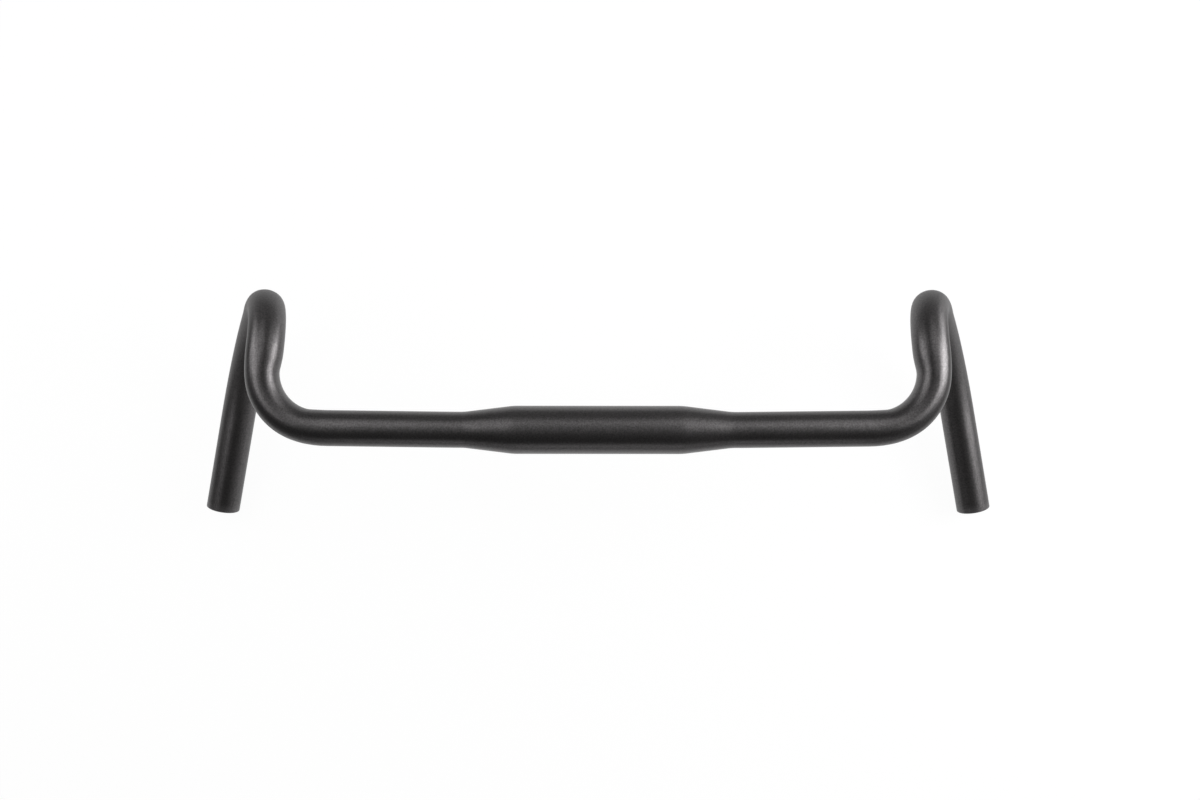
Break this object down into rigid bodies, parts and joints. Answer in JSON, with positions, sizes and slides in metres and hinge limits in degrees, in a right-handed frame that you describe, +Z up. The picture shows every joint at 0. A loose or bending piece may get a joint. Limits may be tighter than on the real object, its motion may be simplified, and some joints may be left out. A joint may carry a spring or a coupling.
{
  "type": "drop handlebar",
  "caption": "Flared gravel drop handlebar: one bent alloy tube with a swaged stem clamp area, short ramps, compact hooks and open drop ends",
  "frame": {"origin": "middle of the stem clamp area, on the tube's axis", "axes": "X runs across the bar along the clamp axis, Y points forward in the riding direction, Z points up"},
  "size_m": [0.574, 0.1579, 0.1488],
  "materials": {
    "bar": "matte black anodised over a fine blasted surface"
  },
  "bodies": {
    "root": {"handlebar": "bar"}
  },
  "joints": []
}
